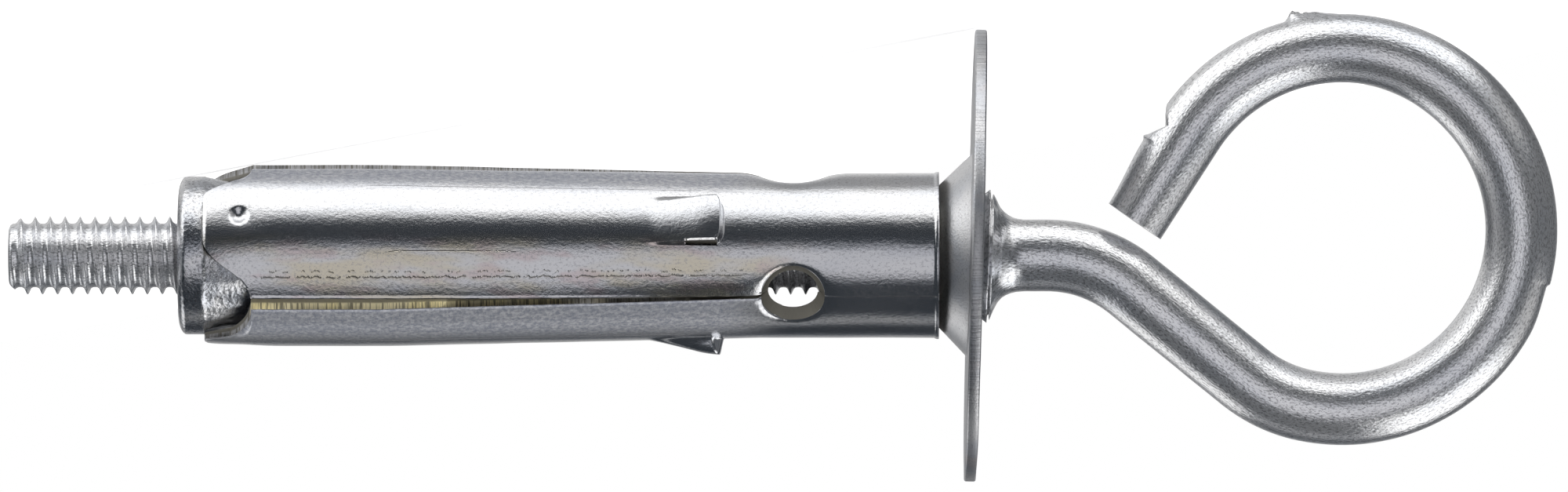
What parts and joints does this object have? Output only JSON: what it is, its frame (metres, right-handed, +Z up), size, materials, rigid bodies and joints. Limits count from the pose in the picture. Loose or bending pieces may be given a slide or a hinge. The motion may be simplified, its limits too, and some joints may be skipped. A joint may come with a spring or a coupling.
{
  "type": "eye anchor bolt",
  "caption": "Expansion anchor with a bent wire eye, a dished washer, a slit rolled sleeve and a cone nut, lying as it rests.",
  "frame": {"origin": "middle of the footprint, on the floor the anchor lies on", "axes": "+X from the thread's tip towards the eye, +Z up; the anchor's axis rises 10.7 degrees towards +X, because the washer's rim holds that end up"},
  "size_m": [0.1026, 0.0302, 0.0321],
  "materials": {
    "bright_zinc": "bright zinc plate on drawn wire",
    "washer_zinc": "bright zinc plate on pressed sheet",
    "sleeve_zinc": "bright zinc plate on rolled sheet, faintly iridescent",
    "nut_zinc": "zinc plate, coarse on the cone"
  },
  "bodies": {
    "sleeve": {"expansion_sleeve": "sleeve_zinc"},
    "eye": {"eye_bolt": "bright_zinc"},
    "nut": {"cone_nut": "nut_zinc"},
    "washer": {"washer": "washer_zinc"}
  },
  "joints": [
    {"name": "eye_turn", "type": "hinge", "parent": "sleeve", "child": "eye", "pos_m": [0.01215, 0, 0.01484], "axis": [0.9827, 0, 0.1851], "range_deg": [0, 3960]},
    {"name": "nut_travel", "type": "slide", "parent": "sleeve", "child": "nut", "axis": [-0.9827, 0, -0.1851], "range_m": [0, 0.011]},
    {"name": "washer_play", "type": "slide", "parent": "sleeve", "child": "washer", "axis": [0.9827, 0, 0.1851], "range_m": [0, 0.0022]}
  ],
  "couplings": [
    {"joint": "nut_travel", "follows": "eye_turn", "m_per_rad": 0.00015915}
  ]
}
